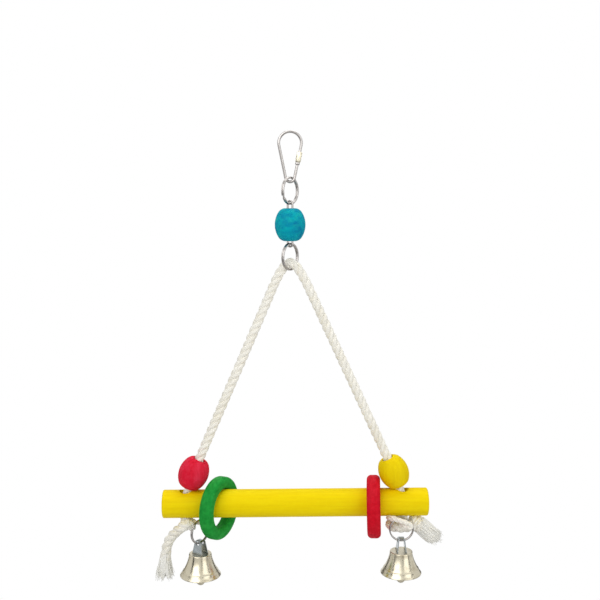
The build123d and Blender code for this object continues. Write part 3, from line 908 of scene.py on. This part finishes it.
def split_coil(mean_r, gap, half_wide, half_thick, joggle, start):
    """Two turns of flat wire about the X axis, with the crossing at an angle and square ends."""
    count, end_gap = 240, 0.12
    angles = np.linspace(end_gap, 2 * tau - end_gap, count)
    step = np.clip((angles - (tau - joggle)) / (2 * joggle), 0, 1)
    shift = gap * (step * step * (3 - 2 * step) - 0.5)
    line = [(shift[i], mean_r * sin(start + a), mean_r * cos(start + a)) for i, a in enumerate(angles)]
    return swept(line, flat_section(half_wide, half_thick), first_side=(1, 0, 0))


ring_turn = Matrix.Rotation(radians(-35), 4, "Z")
for name, z, start in (("upper", -31.65, radians(-118)), ("lower", -68.445, radians(140))):
    coil = split_coil(7.25, 0.86, half_wide=0.42, half_thick=0.55, joggle=0.32, start=start)
    coil = placed(coil, Matrix.Translation((0, 0, z)) @ ring_turn)
    node = name + "_split_ring"
    piece_mm(name + "_ring_coil", coil, wire_plate, node, [node])

# %% [markdown]
# ## Bead link
# The turquoise bead sits on one long loop of wire with its two legs side by side, bent round at both ends
# like a hairpin. It is swept as a closed line, with a slight waist where the ends of the wire meet.

# %% Bead link
bow = 1.595
top, foot = -38.9, -61.195
hairpin = [(bow * sin(a), 0, top + bow * cos(a)) for a in np.linspace(-pi / 2, pi / 2, 24)]
hairpin += [(bow, 0, z) for z in np.linspace(top, foot, 30)[1:-1]]
hairpin += [(bow * sin(a), 0, foot + bow * cos(a)) for a in np.linspace(pi / 2, 3 * pi / 2, 24)]
hairpin += [(-bow, 0, z) for z in np.linspace(foot, top, 30)[1:-1]]
seam = np.ones(len(hairpin))
seam[-8:-6] = 0.9
bead_wire_r = 0.6
bead_wire = swept(hairpin, round_section(bead_wire_r, 16), closed=True, first_side=(0, 1, 0), scale=seam)
piece_mm("bead_link_wire", placed(bead_wire, ring_turn), wire_plate,
         "bead_link", ["bead_link"])

# %% [markdown]
# ## Bells
# Each bell is pressed from thin sheet: a flat crown with a crisp edge, a wall that opens in a curve, a small
# step and a flared skirt with a rolled lip. The outline is spun round its axis, with an inside, because the
# mouth is open and the clapper shows below it. The hanger is a strip folded into a loop with its feet through
# two slots in the crown, which are cut here. The hanger and the clapper keep their solids.

# %% Bell outline
crown = [(0.0, -0.06), (3.6, -0.08), (5.3, -0.14), (5.75, -0.02), (6.1, 0.0), (6.34, -0.1), (6.48, -0.32),
         (6.54, -0.7)]
wall = [(6.7, -2.0), (7.06, -3.5), (7.5, -4.9), (8.0, -6.2), (8.58, -7.5), (9.2, -8.7), (9.72, -9.6)]
lip = [(9.98, -9.86), (10.18, -10.0), (10.3, -10.24), (10.36, -10.5), (10.72, -11.2), (11.16, -11.86),
       (11.5, -12.3), (11.74, -12.55), (11.8, -12.78), (11.7, -12.96), (11.48, -13.0)]
inside = [(11.2, -12.9), (10.9, -12.5), (10.2, -11.5), (9.5, -10.3), (8.8, -9.0), (8.0, -7.5), (7.2, -5.7),
          (6.5, -3.6), (6.05, -1.6), (5.85, -0.8), (5.4, -0.66), (0.0, -0.66)]
bell_outline = crown + wall + lip + inside
print("bell outline points", len(bell_outline))

# %% Bell cup with slots
slot_long, slot_wide = 7.9, 0.95
hanger_feet = 5.0


def with_slots(name, part):
    """Cut the hanger's two slots through the crown of a bell mesh, in millimetres."""
    blank = new_piece(name + "_blank", *part)
    spots = [(x * slot_wide / 2 + side * hanger_feet / 2, y * slot_long / 2, z)
             for side in (-1, 1) for z in (-2, 2) for x, y in ((-1, -1), (1, -1), (1, 1), (-1, 1))]
    box_faces = [(3, 2, 1, 0), (4, 5, 6, 7), (0, 1, 5, 4), (1, 2, 6, 5), (2, 3, 7, 6), (3, 0, 4, 7)]
    box_faces += [tuple(8 + q for q in face) for face in box_faces]
    cutter = new_piece(name + "_cutter", spots, box_faces)
    cut = blank.modifiers.new("slots", "BOOLEAN")
    cut.operation = "DIFFERENCE"
    cut.object = cutter
    bpy.context.view_layer.update()
    done = bpy.data.meshes.new_from_object(blank.evaluated_get(bpy.context.evaluated_depsgraph_get()))
    result = [tuple(v.co) for v in done.vertices], [tuple(f.vertices) for f in done.polygons]
    bpy.data.meshes.remove(done)
    for helper in (blank, cutter):
        bpy.data.meshes.remove(helper.data)
    return result


bell_cup = with_slots("bell_cup", spun(bell_outline, 128))
print("bell cup points", len(bell_cup[0]))

# %% Hang the bells
ring_reach = 5.8
ring_drop, crown_drop = 3.7, 16.6
across_ring = Matrix.Rotation(radians(90), 4, "Z")
for side, neck, start in (("left", left_neck, radians(60)), ("right", right_neck, radians(-40))):
    hung = neck @ Matrix.Translation((0, -ring_reach, -crown_drop))
    cup = piece_mm(side + "_bell_cup", placed(bell_cup, hung), bell_plate,
                   side + "_bell", [side + "_bell_shell"])
    crease = cup.modifiers.new("crisp_edges", "EDGE_SPLIT")
    crease.split_angle = radians(50)
    coil = split_coil(6.7, 0.74, half_wide=0.36, half_thick=0.45, joggle=0.3, start=start)
    coil = placed(coil, neck @ Matrix.Translation((0, -ring_reach, -ring_drop)) @ across_ring)
    node = side + "_bell_ring"
    piece_mm(node + "_coil", coil, wire_plate, node, [node])
    dress(side + "_bell_hanger", hanger_plate_painted_blue_reflection)
    dress(side + "_clapper_wire", wire_plate)
    dress(side + "_clapper_ball", bell_plate)
